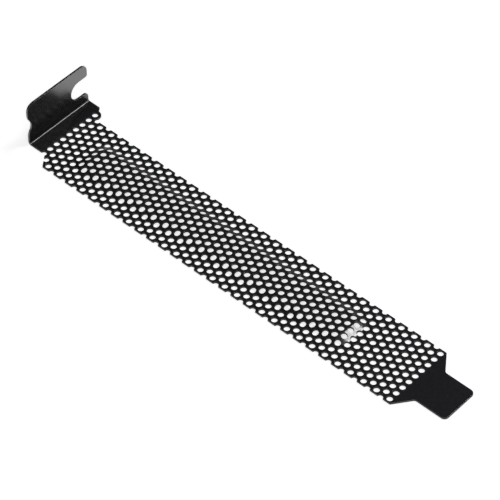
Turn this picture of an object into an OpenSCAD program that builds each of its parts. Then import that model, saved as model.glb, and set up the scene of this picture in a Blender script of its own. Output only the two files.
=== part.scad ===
// Perforated slot cover bracket, folded from one steel sheet.
// Millimetres. The origin is the centre of the screw notch, on the face of the
// flange that seats on the chassis. +X runs along the strip to the tongue, and
// the flange and the embossed panel stand up towards +Z.

/* [Sheet] */
// Thickness of the sheet
sheet_t = 0.5; // [0.3:0.05:0.9]
// Inside radius of the fold between flange and strip
fold_r = 0.4; // [0.2:0.1:1]

/* [Strip] */
// Length from the back of the flange to the tip of the tongue
overall_l = 120; // [80:0.5:160]
// Width of the strip
strip_w = 18.4; // [16:0.1:24]
// Distance from the seat face to where the low side steps across to the strip
low_step_x = 4.7; // [3:0.1:6]
// Distance from the seat face to where the high side steps across to the strip
high_step_x = 3.5; // [2:0.1:5]
// Length over which each side steps across
step_run = 2.4; // [1:0.1:4]

/* [Tongue] */
// Length of the straight part of the tongue
tongue_l = 8; // [4:0.1:14]
// Width of the tongue
tongue_w = 9.8; // [6:0.1:13]
// Radius of the corners at the tip of the tongue
tongue_r = 1.1; // [0.3:0.1:3]
// Length over which the strip tapers in to the tongue
taper_l = 3.2; // [1:0.1:6]
// Fillet radius where the taper meets the tongue
taper_r = 0.8; // [0.2:0.1:2]

/* [Perforation] */
// Distance between neighbouring holes
hole_spacing = 2.05; // [1.8:0.05:3]
// Diameter of the holes
hole_d = 1.4; // [0.8:0.05:1.6]
// Distance from the seat face to the first row of holes
first_row_x = 4.45; // [3:0.05:7]
// Least distance from the last row of holes to the taper
end_margin = 0.85; // [0.75:0.05:4]
// Width of the web left round the hole at the stepped corner
corner_web = 0.7; // [0.3:0.05:1.2]

/* [Embossed panel] */
// Height that the panel is raised
emboss_h = 0.85; // [0.3:0.05:1.5]
// Width of the raised area at its foot
emboss_w = 11.1; // [8:0.1:15]
// Width of the sloping border
emboss_run = 2.15; // [1:0.05:2.8]
// Distance from the seat face to the foot of the panel
emboss_x = 11.8; // [8:0.1:20]
// Distance from the foot of the panel to the start of the taper
emboss_end = 17; // [5:0.1:30]
// Corner radius of the panel at its foot
emboss_r = 3.6; // [3:0.1:4]
// Radius of the soft bends at the foot and the shoulder of the slope
bend_r = 1.2; // [0.4:0.1:2]

/* [Flange] */
// Height of the flange above the front of the strip
flange_h = 11.4; // [9:0.1:16]
// Width of the flange
flange_w = 18.8; // [17:0.1:24]
// Sideways offset of the flange from the middle of the strip
flange_shift = 3.3; // [1:0.1:4]
// Radius of the outer corner away from the notch
corner_r = 2; // [0.3:0.1:3]
// Depth of the waist in the edge opposite the notch
waist_depth = 1; // [0.3:0.1:2]
// Length of the waist
waist_l = 6.2; // [4:0.1:7]
// Height of the middle of the waist above the front of the strip
waist_z = 5.1; // [4.5:0.1:7]

/* [Screw notch] */
// Width of the notch
notch_w = 5; // [4:0.1:5.6]
// Depth of the notch from the open side to the centre of its round end
notch_depth = 2.75; // [1.5:0.05:5]
// Height of the middle of the notch above the front of the strip
notch_z = 5.05; // [4.5:0.05:6]
// Radius of the upper corner of the finger above the notch
finger_r = 1.9; // [0.5:0.1:3]
// Radius of the small corner where the finger meets the notch
finger_tip_r = 0.6; // [0.2:0.1:1]
// Radius of the lip corner below the notch
lip_r = 1.2; // [0.3:0.1:2]

/* [Hidden] */

black_paint = [0.1, 0.1, 0.11];
hole_sides = 32;
notch_sides = 96;
// Straight pieces in each rounded corner of an outline
corner_steps = 8;
// Straight pieces in each soft bend of the embossed panel
bend_steps = 3;
// Angle between the flat sides that round a corner of the embossed panel
corner_turn = 22.5;
// How far a cutting shape runs past what it cuts
past = 1;

low_y = flange_shift - flange_w / 2;
high_y = flange_shift + flange_w / 2;
flange_top = sheet_t + flange_h;
notch_centre = [high_y - notch_depth, sheet_t + notch_z];
tip_x = overall_l - sheet_t;
tongue_x = tip_x - tongue_l;
strip_end = tongue_x - taper_l;

row_step = hole_spacing * sqrt(3) / 2;
row_count = 1 + floor((strip_end - end_margin - first_row_x) / row_step);
// The first row follows the flange, so its last hole lies past the strip's edge
corner_hole_y = hole_spacing * floor((high_y - hole_d / 2) / hole_spacing - 0.5);

emboss_l = strip_end - emboss_end - emboss_x;
emboss_centre_x = emboss_x + emboss_l / 2;

function unit(v) = v / norm(v);
function turned(v, a) = [v.x * cos(a) - v.y * sin(a), v.x * sin(a) + v.y * cos(a)];

// Points of a rounded corner, with radius r and tangent to both of its sides
function corner_points(before, at, after, r, steps) =
    let (back = unit(before - at),
         ahead = unit(after - at),
         half = acos(back * ahead) / 2,
         middle = at + unit(back + ahead) * r / sin(half),
         first = at + back * r / tan(half) - middle,
         last = at + ahead * r / tan(half) - middle,
         turn = atan2(cross(first, last), first * last))
    [for (k = [0 : steps]) middle + turned(first, turn * k / steps)];

// Outline through corners given as [x, y, radius], with sharp ones at radius 0
function rounded(corners, steps) =
    let (n = len(corners))
    [for (k = [0 : n - 1])
        let (before = corners[(k + n - 1) % n], at = corners[k], after = corners[(k + 1) % n])
        each (at[2] == 0 ? [[at.x, at.y]] : corner_points([before.x, before.y], [at.x, at.y],
                                                          [after.x, after.y], at[2], steps))];

// Flat outline of the strip, its stepped flange end and its tongue
module strip_outline() {
    edge = strip_w / 2;
    side = tongue_w / 2;
    polygon(rounded([
        [fold_r, low_y, 0],
        [low_step_x, low_y, 0],
        [low_step_x + step_run, -edge, 0],
        [strip_end, -edge, 0],
        [tongue_x, -side, taper_r],
        [tip_x, -side, tongue_r],
        [tip_x, side, tongue_r],
        [tongue_x, side, taper_r],
        [strip_end, edge, 0],
        [high_step_x + step_run, edge, 0],
        [high_step_x, high_y, 0],
        [fold_r, high_y, 0]], corner_steps));
    translate([first_row_x, corner_hole_y])
        circle(r = hole_d / 2 + corner_web, $fn = hole_sides);
}

// Flat outline of the flange above its fold: x is across the bracket, y is up
module flange_outline() {
    half_waist = waist_l / 2;
    // Two equal arcs make each side of the waist
    waist_r = (pow(half_waist, 2) + pow(waist_depth, 2)) / (4 * waist_depth);
    reach = waist_r * waist_depth / half_waist;
    soft_r = waist_r * 0.97;
    waist_mid = sheet_t + waist_z;
    difference() {
        polygon(rounded([
            [low_y, sheet_t + fold_r, 0],
            [high_y, sheet_t + fold_r, 0],
            [high_y, notch_centre.y - notch_w / 2, lip_r],
            [notch_centre.x, notch_centre.y - notch_w / 2, 0],
            [notch_centre.x, notch_centre.y + notch_w / 2, 0],
            [high_y, notch_centre.y + notch_w / 2, finger_tip_r],
            [high_y, flange_top, finger_r],
            [low_y, flange_top, corner_r],
            [low_y, waist_mid + half_waist - reach, soft_r],
            [low_y + waist_depth, waist_mid + reach, soft_r],
            [low_y + waist_depth, waist_mid - reach, soft_r],
            [low_y, waist_mid - half_waist + reach, soft_r]], corner_steps));
        translate(notch_centre)
            circle(d = notch_w, $fn = notch_sides);
    }
}

// Section below a ridge of the panel's shape, with its flat sides at height base
module ridge_section(half_foot, base) {
    far = overall_l;
    top = base + emboss_h;
    right = [
        [half_foot, base, bend_r],
        [half_foot - emboss_run, top, bend_r]];
    polygon(rounded([
        [-far, -past, 0],
        [far, -past, 0],
        [far, base, 0],
        each right,
        [-right[1].x, top, bend_r],
        [-right[0].x, base, bend_r],
        [-far, base, 0]], bend_steps));
}

// Space below the panel's raised surface: ridges at every turn meet in one panel with round corners
module below_panel(base) {
    intersection_for (turn = [0 : corner_turn : 180 - corner_turn]) {
        half_foot = emboss_r + (emboss_l / 2 - emboss_r) * abs(cos(turn))
            + (emboss_w / 2 - emboss_r) * abs(sin(turn));
        translate([emboss_centre_x, 0, 0])
            rotate([90, 0, turn])
                linear_extrude(2 * overall_l, center = true)
                    ridge_section(half_foot, base);
    }
}

// Holes on a triangular grid: the first row follows the flange, the others the strip
module perforation() {
    edge_reach = strip_w / 2 + hole_d / 4;
    for (row = [0 : row_count - 1]) {
        y_from = row == 0 ? low_y - hole_d / 4 : -edge_reach;
        y_to = row == 0 ? corner_hole_y : edge_reach;
        shift = row % 2 == 0 ? 0 : 0.5;
        for (k = [ceil(y_from / hole_spacing - shift) : floor(y_to / hole_spacing - shift)])
            translate([first_row_x + row * row_step, (k + shift) * hole_spacing, -past])
                cylinder(d = hole_d, h = sheet_t + emboss_h + 2 * past, $fn = hole_sides);
    }
}

// Strip with its raised panel, at one thickness all over, and its holes
module strip() {
    difference() {
        intersection() {
            linear_extrude(sheet_t + emboss_h)
                strip_outline();
            below_panel(sheet_t);
        }
        below_panel(0);
        perforation();
    }
}

// Quarter turn of sheet between the strip and the flange
module fold() {
    outer_r = fold_r + sheet_t;
    translate([fold_r, high_y, outer_r])
        rotate([90, 0, 0])
            linear_extrude(flange_w)
                difference() {
                    intersection() {
                        circle(r = outer_r, $fn = notch_sides);
                        translate([-outer_r, -outer_r])
                            square(outer_r);
                    }
                    circle(r = fold_r, $fn = notch_sides);
                }
}

module flange() {
    rotate([90, 0, 90])
        translate([0, 0, -sheet_t])
            linear_extrude(sheet_t)
                flange_outline();
}

module slot_cover() {
    color(black_paint)
        translate([0, -notch_centre.x, -notch_centre.y])
            union() {
                strip();
                fold();
                flange();
            }
}

slot_cover();
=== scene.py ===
import cmath
import math

import bpy
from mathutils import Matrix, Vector
from mathutils.geometry import delaunay_2d_cdt


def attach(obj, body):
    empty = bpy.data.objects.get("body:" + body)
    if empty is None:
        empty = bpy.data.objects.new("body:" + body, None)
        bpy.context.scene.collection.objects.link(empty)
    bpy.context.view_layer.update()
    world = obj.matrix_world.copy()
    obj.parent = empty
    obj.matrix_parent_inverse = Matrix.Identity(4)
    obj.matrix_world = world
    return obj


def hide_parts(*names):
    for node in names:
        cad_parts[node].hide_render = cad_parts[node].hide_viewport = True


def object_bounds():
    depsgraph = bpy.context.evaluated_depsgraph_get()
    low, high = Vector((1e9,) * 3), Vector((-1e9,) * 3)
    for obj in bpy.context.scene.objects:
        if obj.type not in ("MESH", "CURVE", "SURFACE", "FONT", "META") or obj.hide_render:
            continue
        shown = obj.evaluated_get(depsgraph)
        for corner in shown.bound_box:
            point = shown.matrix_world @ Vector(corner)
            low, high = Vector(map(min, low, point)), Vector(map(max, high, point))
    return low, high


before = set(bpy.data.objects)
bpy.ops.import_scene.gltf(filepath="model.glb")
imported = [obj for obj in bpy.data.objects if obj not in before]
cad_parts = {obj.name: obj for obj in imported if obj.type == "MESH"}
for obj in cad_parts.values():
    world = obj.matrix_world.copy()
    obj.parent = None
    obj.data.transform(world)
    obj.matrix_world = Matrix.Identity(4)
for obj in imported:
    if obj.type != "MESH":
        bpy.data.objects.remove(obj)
cad_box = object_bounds()

MM = 0.001

# The camera: the photograph's angles in degrees, its distance in metres and its lens in
# millimetres. It aims at the middle of the part, at this height above the floor in metres.
PHOTO_AZIMUTH, PHOTO_ELEVATION = 42.2, 47.6
CAMERA_DISTANCE, CAMERA_LENS = 0.592, 198
AIM_HEIGHT = 0.0025
PART_CENTRE = (cad_box[0] + cad_box[1]) / 2
PART_CENTRE.z = cad_box[0].z + AIM_HEIGHT

# The ground: half its side and the reach of its painted shade in metres, its own tone, the white
# that the camera sees besides, and how fast the painted shade darkens its glow in reflections under
# something close
FLOOR_HALF, PAINTED_SHADE_REACH = 3.0, 0.006
FLOOR_TONE, FLOOR_GLOW, PAINTED_SHADE_FALL = 0.8, 0.72, 10.0

# The room's light, as (height, colour) near the horizon and overhead
HORIZON = (0.05, (0.30, 0.30, 0.31))
OVERHEAD = (0.45, (0.064, 0.064, 0.076))

# Sizes of the sheet, in millimetres. x is measured from the seat face of the flange, y from the
# middle of the strip and z from the back of the strip.
SHEET_T = 0.5
FOLD_R = 0.4
STRIP_W = 18.4
TONGUE_L, TONGUE_W, TONGUE_R = 8.0, 9.8, 1.1
TAPER_L, TAPER_R = 3.2, 0.8
LOW_STEP_X, HIGH_STEP_X, STEP_RUN = 4.7, 3.5, 2.4
HOLE_SPACING, HOLE_D = 2.05, 1.4
FIRST_ROW_X, END_MARGIN, CORNER_WEB = 4.45, 0.85, 0.7
EMBOSS_H, EMBOSS_W, EMBOSS_RUN, EMBOSS_R = 0.85, 11.1, 2.15, 3.6
EMBOSS_X, EMBOSS_END, BEND_R = 11.8, 17.0, 1.2
FLANGE_W, FLANGE_SHIFT, CORNER_R = 18.8, 3.3, 2.0
WAIST_DEPTH, WAIST_L, WAIST_Z = 1.0, 6.2, 5.1
# Each of the waist's arcs stops a little short of the next
WAIST_ARC_SHARE = 0.97
NOTCH_W, NOTCH_DEPTH, NOTCH_Z = 5.0, 2.75, 5.05
FINGER_R, FINGER_TIP_R, LIP_R = 1.9, 0.6, 1.2

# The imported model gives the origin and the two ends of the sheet
cad_low, cad_high = (v / MM for v in cad_box)
TIP_X = cad_high.x
FLANGE_TOP = cad_high.z - cad_low.z
LOW_Y = FLANGE_SHIFT - FLANGE_W / 2
HIGH_Y = FLANGE_SHIFT + FLANGE_W / 2
ORIGIN = Vector((0, HIGH_Y - cad_high.y, -cad_low.z))

TONGUE_X = TIP_X - TONGUE_L
STRIP_END = TONGUE_X - TAPER_L
ROW_STEP = HOLE_SPACING * math.sqrt(3) / 2
ROWS = 1 + int((STRIP_END - END_MARGIN - FIRST_ROW_X) / ROW_STEP)
# The first row follows the flange, so its last hole lies past the strip's edge
CORNER_HOLE_Y = HOLE_SPACING * math.floor((HIGH_Y - HOLE_D / 2) / HOLE_SPACING - 0.5)

# The blank is the sheet before it is folded: u runs along it and v across it. Right of
# FOLD_R, u is x; left of FOLD_U it runs up the flange.
FOLD_LENGTH = math.pi / 2 * (FOLD_R + SHEET_T / 2)
FOLD_U = FOLD_R - FOLD_LENGTH
FOLD_STEPS = 8

# Rounding of the edges on the sheet's front and back, and of the outline's sharp corners
FRONT_ROUND, BACK_ROUND = 0.075, 0.05
SHEAR_ROUND = 0.1
# A corner is sharp where half its angle is below the first. Its neighbours are dropped within
# the second times its rounding's reach. The rounding takes at most the third of a side.
SHARP_HALF, CLEAR_REACHES, SIDE_SHARE = math.radians(80), 2.2, 0.48

# How finely arcs, holes and straight sides are divided
ARC_STEP, SHEAR_ARC_STEP = math.radians(11), math.radians(24)
HOLE_SIDES = 24
OUTLINE_STEP = 0.35

# The triangulation: points this near are one, and a point this near to the fold's ends is on it
SAME_POINT, FOLD_TOLERANCE = 1e-6, 1e-5
TRIANGLES_INSIDE = 1


def flange_u(z):
    """Place on the blank of a height on the flange."""
    return FOLD_U - (z - SHEET_T - FOLD_R)


def dot(a, b):
    """Dot product. A place or a vector of the blank is a complex number, u + v * 1j."""
    return (a.conjugate() * b).real


def cross(a, b):
    """Cross product, positive where b turns left from a."""
    return (a.conjugate() * b).imag


def direction(a):
    """The vector at length 1."""
    return a / abs(a)


def angle_between(a, b):
    return abs(math.atan2(cross(a, b), dot(a, b)))


def round_corner(before, at, after, radius, step=ARC_STEP):
    """Points of an arc that is tangent to both sides of a corner."""
    back, ahead = direction(before - at), direction(after - at)
    half = angle_between(back, ahead) / 2
    middle = at + direction(back + ahead) * (radius / math.sin(half))
    first = at + back * (radius / math.tan(half)) - middle
    last = at + ahead * (radius / math.tan(half)) - middle
    turn = math.atan2(cross(first, last), dot(first, last))
    count = max(2, round(abs(turn) / step))
    return [middle + first * cmath.rect(1, turn * k / count) for k in range(count + 1)]


def rounded(corners):
    """Outline through (place, radius) corners."""
    points = []
    for k, (at, radius) in enumerate(corners):
        if radius:
            after = corners[(k + 1) % len(corners)][0]
            points += round_corner(corners[k - 1][0], at, after, radius)
        else:
            points.append(at)
    return points


def blank_corners():
    """Corners of the blank, anticlockwise from the low side of the fold."""
    edge, side = STRIP_W / 2, TONGUE_W / 2
    notch_y, notch_z = HIGH_Y - NOTCH_DEPTH, SHEET_T + NOTCH_Z
    notch_r = NOTCH_W / 2
    half_waist = WAIST_L / 2
    waist_r = (half_waist ** 2 + WAIST_DEPTH ** 2) / (4 * WAIST_DEPTH)
    reach = waist_r * WAIST_DEPTH / half_waist
    soft_r = waist_r * WAIST_ARC_SHARE
    waist_mid = SHEET_T + WAIST_Z
    strip = [
        (FOLD_U, LOW_Y, 0), (FOLD_R, LOW_Y, 0),
        (LOW_STEP_X, LOW_Y, 0), (LOW_STEP_X + STEP_RUN, -edge, 0),
        (STRIP_END, -edge, 0), (TONGUE_X, -side, TAPER_R),
        (TIP_X, -side, TONGUE_R), (TIP_X, side, TONGUE_R),
        (TONGUE_X, side, TAPER_R), (STRIP_END, edge, 0),
        (HIGH_STEP_X + STEP_RUN, edge, 0), (HIGH_STEP_X, HIGH_Y, 0),
        (FOLD_R, HIGH_Y, 0), (FOLD_U, HIGH_Y, 0)]
    flange = [
        (notch_z - notch_r, HIGH_Y, LIP_R),
        (notch_z - notch_r, notch_y - notch_r, notch_r),
        (notch_z + notch_r, notch_y - notch_r, notch_r),
        (notch_z + notch_r, HIGH_Y, FINGER_TIP_R),
        (FLANGE_TOP, HIGH_Y, FINGER_R), (FLANGE_TOP, LOW_Y, CORNER_R),
        (waist_mid + half_waist - reach, LOW_Y, soft_r),
        (waist_mid + reach, LOW_Y + WAIST_DEPTH, soft_r),
        (waist_mid - reach, LOW_Y + WAIST_DEPTH, soft_r),
        (waist_mid - half_waist + reach, LOW_Y, soft_r)]
    strip += [(flange_u(z), y, r) for z, y, r in flange]
    return [(complex(u, v), r) for u, v, r in strip]


def divided(outline, step):
    """The outline with its long sides divided, apart from the fold's own sides."""
    points = []
    fold = {FOLD_U, FOLD_R}
    for p, q in zip(outline, outline[1:] + outline[:1]):
        count = FOLD_STEPS if {p.real, q.real} == fold else math.ceil(abs(q - p) / step)
        points += [p + (q - p) * k / count for k in range(count)]
    return points


def circle_crossing(p, q, centre, radius):
    """Where the line from p, outside a circle, to q, inside it, meets the circle."""
    along = direction(q - p)
    before = dot(along, centre - p)
    off = cross(along, centre - p)
    return p + along * (before - math.sqrt(radius ** 2 - off ** 2))


def trimmed(outline, centre, radius, side):
    """The outline with its stretch inside a circle replaced by the circle's arc.
    side is -1 for a bite out of the sheet and 1 for a ring added to it."""
    count = len(outline)
    inside = [abs(p - centre) < radius for p in outline]
    start = next(k for k in range(count) if inside[k] and not inside[k - 1])
    length = next(k for k in range(1, count) if not inside[(start + k) % count])
    last, after = outline[(start + length - 1) % count], outline[(start + length) % count]
    entry = circle_crossing(outline[start - 1], outline[start], centre, radius) - centre
    leave = circle_crossing(after, last, centre, radius) - centre
    turn = side * ((side * cmath.phase(leave / entry)) % (2 * math.pi))
    steps = max(2, math.ceil(abs(turn) / (2 * math.pi / HOLE_SIDES)))
    arc = [centre + entry * cmath.rect(1, turn * k / steps) for k in range(steps + 1)]
    kept = [outline[(start + length + k) % count] for k in range(count - length)]
    return kept + arc


def softened(outline):
    """Rounds the shear's sharp corners a little, as paint and tumbling leave them."""
    count = len(outline)
    reach = {}
    for k, p in enumerate(outline):
        before, after = outline[k - 1] - p, outline[(k + 1) % count] - p
        half = angle_between(before, after) / 2
        if half < SHARP_HALF:
            reach[k] = SHEAR_ROUND / math.tan(half)
    kept = [(p, k in reach) for k, p in enumerate(outline) if k in reach
            or all(abs(p - outline[c]) > CLEAR_REACHES * r for c, r in reach.items())]
    points = []
    for k, (p, corner) in enumerate(kept):
        before, after = kept[k - 1][0], kept[(k + 1) % len(kept)][0]
        if corner:
            half = angle_between(before - p, after - p) / 2
            room = SIDE_SHARE * min(abs(before - p), abs(after - p))
            radius = min(SHEAR_ROUND, room * math.tan(half))
            points += round_corner(before, p, after, radius, SHEAR_ARC_STEP)
        else:
            points.append(p)
    return points


def hole_centres():
    """Centres of the triangular grid of holes, row by row from the flange end. The grid runs
    out over the edges as far as its holes still bite well into the sheet."""
    past_edge = HOLE_D / 4
    edge_reach = STRIP_W / 2 + past_edge
    for row in range(ROWS):
        low = LOW_Y - past_edge if row == 0 else -edge_reach
        high = CORNER_HOLE_Y if row == 0 else edge_reach
        shift = 0 if row % 2 == 0 else 0.5
        first = math.ceil(low / HOLE_SPACING - shift)
        last = math.floor(high / HOLE_SPACING - shift)
        for k in range(first, last + 1):
            yield complex(FIRST_ROW_X + row * ROW_STEP, (k + shift) * HOLE_SPACING)


def contains(outline, point):
    """Whether a point lies inside the outline."""
    odd = False
    for p, q in zip(outline, outline[1:] + outline[:1]):
        if (p.imag > point.imag) != (q.imag > point.imag):
            share = (point.imag - p.imag) / (q.imag - p.imag)
            if point.real < p.real + (q.real - p.real) * share:
                odd = not odd
    return odd


def strip_plan():
    """The blank's outline, with the holes that cross it cut into it, and the full holes."""
    outline = divided(rounded(blank_corners()), OUTLINE_STEP)
    corner_hole = complex(FIRST_ROW_X, CORNER_HOLE_Y)
    outline = trimmed(outline, corner_hole, HOLE_D / 2 + CORNER_WEB, 1)
    full = []
    for centre in hole_centres():
        if min(abs(p - centre) for p in outline) < HOLE_D / 2:
            outline = trimmed(outline, centre, HOLE_D / 2, -1)
        elif contains(outline, centre):
            full.append(centre)
    return softened(outline), full


def raised(u, v):
    """Height of the embossed panel: level, with a sloping border and soft bends at its
    foot and its shoulder."""
    half_l = (STRIP_END - EMBOSS_END - EMBOSS_X) / 2
    dx = abs(u - EMBOSS_X - half_l) - (half_l - EMBOSS_R)
    dy = abs(v) - (EMBOSS_W / 2 - EMBOSS_R)
    outside = math.hypot(max(dx, 0), max(dy, 0)) + min(max(dx, dy), 0)
    inward = EMBOSS_R - outside
    slope = math.atan2(EMBOSS_H, EMBOSS_RUN)
    reach = BEND_R * math.tan(slope / 2)
    if inward <= -reach:
        return 0.0
    if inward < reach * math.cos(slope):
        return BEND_R - math.sqrt(BEND_R ** 2 - (inward + reach) ** 2)
    if inward < EMBOSS_RUN - reach * math.cos(slope):
        return inward * math.tan(slope)
    if inward < EMBOSS_RUN + reach:
        return EMBOSS_H - BEND_R + math.sqrt(BEND_R ** 2 - (EMBOSS_RUN + reach - inward) ** 2)
    return EMBOSS_H


def place(p, w):
    """Place in the frame, in metres, of a point of the blank at w above the sheet's back."""
    u, v = p.real, p.imag
    if u >= FOLD_R:
        x, z = u, w + raised(u, v)
    elif u > FOLD_U:
        angle = (FOLD_R - u) / FOLD_LENGTH * math.pi / 2
        radius = FOLD_R + SHEET_T - w
        x = FOLD_R - radius * math.sin(angle)
        z = FOLD_R + SHEET_T - radius * math.cos(angle)
    else:
        x, z = w - SHEET_T, SHEET_T + FOLD_R + FOLD_U - u
    return (Vector((x, v, z)) - ORIGIN) * MM


def inset(loop, distance):
    """The loop moved into the sheet, which lies on its left, with mitred corners."""
    moved = []
    for k, p in enumerate(loop):
        a, b = direction(p - loop[k - 1]), direction(loop[(k + 1) % len(loop)] - p)
        moved.append(p + 1j * (a + b) * (distance / (1 + dot(a, b))))
    return moved


def circle(centre, radius, sides):
    """A hole's loop, clockwise so that the sheet lies on its left."""
    return [centre + cmath.rect(radius, -2 * math.pi * (k + 0.5) / sides) for k in range(sides)]


def rounded_off(p):
    """A point to the micrometre, to find it again among others."""
    return round(p.real, 3), round(p.imag, 3)


def web_points(holes):
    """Points in the middle of each web that lies between three full holes."""
    known = {rounded_off(c) for c in holes}
    for c in holes:
        for ahead in (1, -1):
            row = c + ahead * ROW_STEP
            near = [row + side * HOLE_SPACING / 2 * 1j for side in (1, -1)]
            if all(rounded_off(n) in known for n in near):
                yield c + ahead * ROW_STEP * 2 / 3


def sheet_faces(loops, extra):
    """Triangles between the loops, from a constrained triangulation of the blank."""
    points, edges, owner = [], [], []
    for number, loop in enumerate(loops):
        first = len(points)
        points += loop
        owner += [number] * len(loop)
        edges += [(first + k, first + (k + 1) % len(loop)) for k in range(len(loop))]
    # Straight edges across the fold join the points that face each other on its two sides
    fold_rows = {}
    for k, p in enumerate(loops[0]):
        if FOLD_U - FOLD_TOLERANCE < p.real < FOLD_R + FOLD_TOLERANCE:
            fold_rows.setdefault(round(p.real, 4), []).append(k)
    edges += [tuple(row) for row in fold_rows.values() if len(row) == 2]
    points += extra
    owner += [None] * len(extra)
    flat = [Vector((p.real, p.imag)) for p in points]
    verts, _, faces, origins, _, _ = delaunay_2d_cdt(
        flat, edges, [], TRIANGLES_INSIDE, SAME_POINT)
    if len(verts) != len(points):
        raise ValueError("the triangulation moved or joined points")
    faces = [[origins[v][0] for v in face] for face in faces]
    return [face for face in faces if not fills_hole([owner[v] for v in face])]


def fills_hole(owners):
    """Whether a triangle's corners all lie on one hole's loop. Loop 0 is the outline, and a
    point in the middle of a web has no loop."""
    return len(set(owners)) == 1 and owners[0] not in (0, None)


def surface_axes(p):
    """Directions along u and v on the front face at a point of the blank, and its normal."""
    step = 1e-3
    along = (place(p + step, SHEET_T) - place(p - step, SHEET_T)).normalized()
    across = (place(p + step * 1j, SHEET_T) - place(p - step * 1j, SHEET_T)).normalized()
    return along, across, along.cross(across).normalized()


def outward(loop):
    """Direction out of the sheet, in the blank, at each point of a loop."""
    normals = []
    for k, p in enumerate(loop):
        along = direction(p - loop[k - 1]) + direction(loop[(k + 1) % len(loop)] - p)
        normals.append(-1j * direction(along))
    return normals


def sheet_mesh(name):
    """The whole sheet: its two faces, and rounded edges round its outline and its holes."""
    outline, holes = strip_plan()
    loops = [outline] + [circle(c, HOLE_D / 2, HOLE_SIDES) for c in holes]
    inner = [inset(loop, FRONT_ROUND) for loop in loops]
    extra = list(web_points(holes))
    triangles = sheet_faces(inner, extra)
    flat = [p for loop in inner for p in loop] + extra
    count = len(flat)
    axes = [surface_axes(p) for p in flat]
    verts = [place(p, SHEET_T) for p in flat] + [place(p, 0) for p in flat]
    normals = [up for _, _, up in axes] + [-up for _, _, up in axes]
    faces = list(triangles)
    faces += [[count + v for v in reversed(face)] for face in triangles]

    slant, upright = math.radians(45), math.radians(90)
    slant_in = FRONT_ROUND * (1 - math.sin(slant))
    slant_down = FRONT_ROUND * (1 - math.cos(slant))
    # How far in from the edge, how high above the back and how far tipped out of the face
    rings = [
        (slant_in, SHEET_T - slant_down, slant),
        (0, SHEET_T - FRONT_ROUND, upright),
        (0, BACK_ROUND, upright)]
    first = 0
    for loop in loops:
        size = len(loop)
        front = [first + k for k in range(size)]
        back = [count + k for k in front]
        levels = [front]
        away = outward(loop)
        for move, w, tip in rings:
            start = len(verts)
            verts += [place(p, w) for p in inset(loop, move)]
            for k in range(size):
                along, across, up = axes[first + k]
                side = along * away[k].real + across * away[k].imag
                normals.append((up * math.cos(tip) + side * math.sin(tip)).normalized())
            levels.append([start + k for k in range(size)])
        levels.append(back)
        for upper, lower in zip(levels, levels[1:]):
            for k in range(size):
                n = (k + 1) % size
                faces.append([upper[k], lower[k], lower[n], upper[n]])
        first += size
    mesh = bpy.data.meshes.new(name)
    mesh.from_pydata(verts, [], faces)
    mesh.polygons.foreach_set("use_smooth", [True] * len(mesh.polygons))
    mesh.normals_split_custom_set_from_vertices(normals)
    mesh.update()
    return mesh


def add_sheet():
    """The one piece of the part, in place of the CAD's node."""
    sheet = bpy.data.objects.new("folded_sheet", sheet_mesh("folded_sheet"))
    bpy.context.collection.objects.link(sheet)
    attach(sheet, "root")
    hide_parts("slot_cover")
    return sheet


def cleared_tree(owner):
    """The empty node tree of a new material or world."""
    owner.use_nodes = True
    owner.node_tree.nodes.clear()
    return owner.node_tree


def node(tree, kind, values=None, **settings):
    """A new node with its inputs' values and its own settings."""
    made = tree.nodes.new(kind)
    for key, value in settings.items():
        setattr(made, key, value)
    for key, value in (values or {}).items():
        made.inputs[key].default_value = value
    return made


def maths(tree, operation, *terms):
    """Result of a Math node whose terms are numbers or other nodes' outputs."""
    made = node(tree, "ShaderNodeMath", operation=operation)
    for socket, term in zip(made.inputs, terms):
        if isinstance(term, float):
            socket.default_value = term
        else:
            tree.links.new(term, socket)
    return made.outputs[0]


def ramp(tree, source, stops):
    """Colour that runs between two (position, colour) stops."""
    made = node(tree, "ShaderNodeValToRGB")
    for element, (position, color) in zip(made.color_ramp.elements, stops):
        element.position, element.color = position, (*color, 1)
    tree.links.new(source, made.inputs["Fac"])
    return made.outputs["Color"]


def mapped(tree, source, source_range, result_range):
    """Value moved from one range to another and held to it."""
    made = node(tree, "ShaderNodeMapRange", {
        "From Min": source_range[0], "From Max": source_range[1],
        "To Min": result_range[0], "To Max": result_range[1]})
    tree.links.new(source, made.inputs["Value"])
    return made.outputs["Result"]


def mixed(tree, factor, first, second):
    """Colour between the first, at factor 0, and the second, at 1."""
    made = node(tree, "ShaderNodeMix", data_type="RGBA")
    tree.links.new(factor, made.inputs["Factor"])
    # The inputs of the Mix node's colour type are at places 6 and 7
    tree.links.new(first, made.inputs[6])
    tree.links.new(second, made.inputs[7])
    return made.outputs[2]


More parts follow.
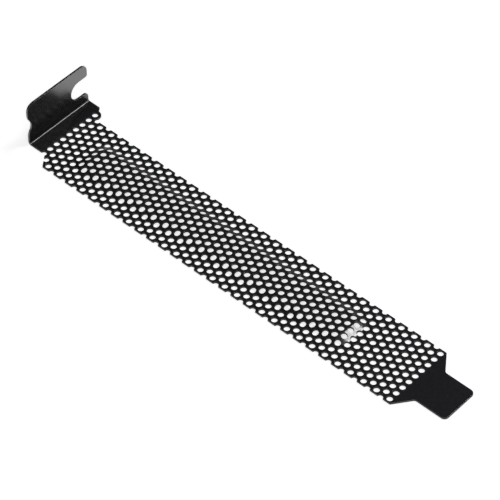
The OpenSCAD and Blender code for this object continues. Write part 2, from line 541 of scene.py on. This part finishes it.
def paint_material():
    """Satin black paint: a fine orange peel, an uneven sheen, dust specks and edges worn thin."""
    material = bpy.data.materials.new("black_satin_paint")
    tree = cleared_tree(material)
    link = tree.links.new
    out = node(tree, "ShaderNodeOutputMaterial")
    paint = node(tree, "ShaderNodeBsdfPrincipled", {"IOR": 2.0})
    where = node(tree, "ShaderNodeTexCoord")
    in_mm = node(tree, "ShaderNodeMapping", {"Scale": (1 / MM, 1 / MM, 1 / MM)})
    link(where.outputs["Object"], in_mm.inputs["Vector"])

    def noise(per_mm, detail, roughness):
        """Noise with this many features to the millimetre."""
        made = node(tree, "ShaderNodeTexNoise",
                    {"Scale": per_mm, "Detail": detail, "Roughness": roughness})
        link(in_mm.outputs[0], made.inputs["Vector"])
        return made.outputs["Fac"]

    def bump(source, strength, height_mm):
        """Relief of the paint's surface, up to this height in millimetres."""
        made = node(tree, "ShaderNodeBump", {"Strength": strength, "Distance": height_mm * MM})
        link(source, made.inputs["Height"])
        return made

    # Colour: black in slightly uneven tones, greyer where it is worn and where dust lies
    tone = ramp(tree, noise(0.35, 4, 0.55), [(0.35, (0.0022, 0.0021, 0.0030)),
                                             (0.70, (0.0045, 0.0043, 0.0056))])
    thin = ramp(tree, noise(3.0, 3, 0.6), [(0.40, (0.006, 0.006, 0.007)),
                                           (0.75, (0.030, 0.029, 0.028))])
    edge = node(tree, "ShaderNodeNewGeometry")
    worn = mapped(tree, edge.outputs["Pointiness"], (0.56, 0.68), (0.0, 0.3))
    dust = mapped(tree, noise(7.0, 2, 0.5), (0.76, 0.82), (0.0, 0.4))
    dust_tone = ramp(tree, noise(0.8, 1, 0.5), [(0.30, (0.05, 0.05, 0.05)),
                                                (0.70, (0.12, 0.12, 0.11))])
    color = mixed(tree, dust, mixed(tree, worn, tone, thin), dust_tone)
    link(color, paint.inputs["Base Color"])

    # Gloss: uneven, and duller where the fine grain is seen edge on
    facing = node(tree, "ShaderNodeLayerWeight", {"Blend": 0.5})
    grazing = mapped(tree, facing.outputs["Facing"], (0.68, 0.92), (0.0, 0.5))
    sheen = mapped(tree, noise(1.6, 5, 0.6), (0.3, 0.7), (0.19, 0.27))
    link(maths(tree, "ADD", sheen, grazing), paint.inputs["Roughness"])

    # Relief: the orange peel with a finer grain on it
    peel = bump(noise(1.9, 3, 0.5), 0.5, 0.01)
    grain = bump(noise(9.0, 2, 0.5), 0.3, 0.003)
    link(peel.outputs["Normal"], grain.inputs["Normal"])
    link(grain.outputs["Normal"], paint.inputs["Normal"])
    link(paint.outputs["BSDF"], out.inputs["Surface"])
    return material


def floor_material():
    """White ground: it keeps the shadow. The camera sees its own white besides, and so do
    reflections, there darkened by a painted shade where something lies close above."""
    material = bpy.data.materials.new("white_ground")
    tree = cleared_tree(material)
    link = tree.links.new
    out = node(tree, "ShaderNodeOutputMaterial")
    diffuse = node(tree, "ShaderNodeBsdfDiffuse", {"Color": (FLOOR_TONE,) * 3 + (1,)})
    glow = node(tree, "ShaderNodeEmission", {"Color": (1, 1, 1, 1)})
    both = node(tree, "ShaderNodeAddShader")
    path = node(tree, "ShaderNodeLightPath").outputs
    # Painted shade: ambient occlusion near the sheet, raised to a power, darkens the glow that
    # reflections see, as if the part's shadow lay in it
    near = node(tree, "ShaderNodeAmbientOcclusion", {"Distance": PAINTED_SHADE_REACH}, samples=8)
    straight = maths(tree, "MULTIPLY", path["Is Camera Ray"], FLOOR_GLOW)
    mirrored = maths(tree, "MAXIMUM", path["Is Glossy Ray"], path["Is Transmission Ray"])
    clear = maths(tree, "POWER", near.outputs["AO"], PAINTED_SHADE_FALL)
    mirrored_glow_with_painted_shade = maths(tree, "MULTIPLY", mirrored, clear)
    link(maths(tree, "ADD", mirrored_glow_with_painted_shade, straight), glow.inputs["Strength"])
    link(diffuse.outputs[0], both.inputs[0])
    link(glow.outputs[0], both.inputs[1])
    link(both.outputs[0], out.inputs["Surface"])
    return material


def add_floor():
    """Level ground under the part, as the scene's own stage."""
    z = cad_box[0].z
    mesh = bpy.data.meshes.new("ground")
    corners = [(x * FLOOR_HALF, y * FLOOR_HALF, z) for x, y in ((-1, -1), (1, -1), (1, 1), (-1, 1))]
    mesh.from_pydata(corners, [], [(0, 1, 2, 3)])
    mesh.materials.append(floor_material())
    ground = bpy.data.objects.new("ground", mesh)
    bpy.context.collection.objects.link(ground)


def add_world():
    """A dim room with a paler horizon; the camera itself sees a white backdrop."""
    world = bpy.data.worlds.new("studio")
    tree = cleared_tree(world)
    link = tree.links.new
    out = node(tree, "ShaderNodeOutputWorld")
    room = node(tree, "ShaderNodeBackground")
    backdrop = node(tree, "ShaderNodeBackground", {"Color": (1, 1, 1, 1)})
    pick = node(tree, "ShaderNodeMixShader")
    path = node(tree, "ShaderNodeLightPath")
    where = node(tree, "ShaderNodeTexCoord")
    split = node(tree, "ShaderNodeSeparateXYZ")
    link(where.outputs["Generated"], split.inputs[0])
    link(ramp(tree, split.outputs["Z"], (HORIZON, OVERHEAD)), room.inputs["Color"])
    link(path.outputs["Is Camera Ray"], pick.inputs["Fac"])
    link(room.outputs[0], pick.inputs[1])
    link(backdrop.outputs[0], pick.inputs[2])
    link(pick.outputs[0], out.inputs["Surface"])
    bpy.context.scene.world = world


def add_aimed(name, data, azimuth, elevation, distance):
    """A camera or lamp that faces the part, placed by two angles in degrees."""
    a, e = math.radians(azimuth), math.radians(elevation)
    away = Vector((math.sin(a) * math.cos(e), -math.cos(a) * math.cos(e), math.sin(e)))
    made = bpy.data.objects.new(name, data)
    made.location = PART_CENTRE + away * distance
    made.rotation_mode = "QUATERNION"
    made.rotation_quaternion = away.to_track_quat("Z", "Y")
    bpy.context.collection.objects.link(made)
    return made


def add_lamp(name, azimuth, elevation, distance, size, power):
    """A soft square lamp."""
    data = bpy.data.lights.new(name, "AREA")
    data.size = size
    data.energy = power
    add_aimed(name, data, azimuth, elevation, distance)


def add_camera():
    """Looks at the middle of the part from the side that the photograph was taken from."""
    data = bpy.data.cameras.new("camera")
    data.sensor_width = 36
    data.lens = CAMERA_LENS
    data.clip_start, data.clip_end = 0.01, 10
    bpy.context.scene.camera = add_aimed(
        "camera", data, PHOTO_AZIMUTH, PHOTO_ELEVATION, CAMERA_DISTANCE)


add_camera()
sheet = add_sheet()
sheet.data.materials.append(paint_material())
add_floor()
add_world()
add_lamp("key", azimuth=162, elevation=59, distance=1.0, size=0.25, power=2.1)
add_lamp("front", azimuth=42, elevation=54, distance=1.2, size=0.9, power=3.0)
bpy.context.scene.view_settings.view_transform = "Standard"
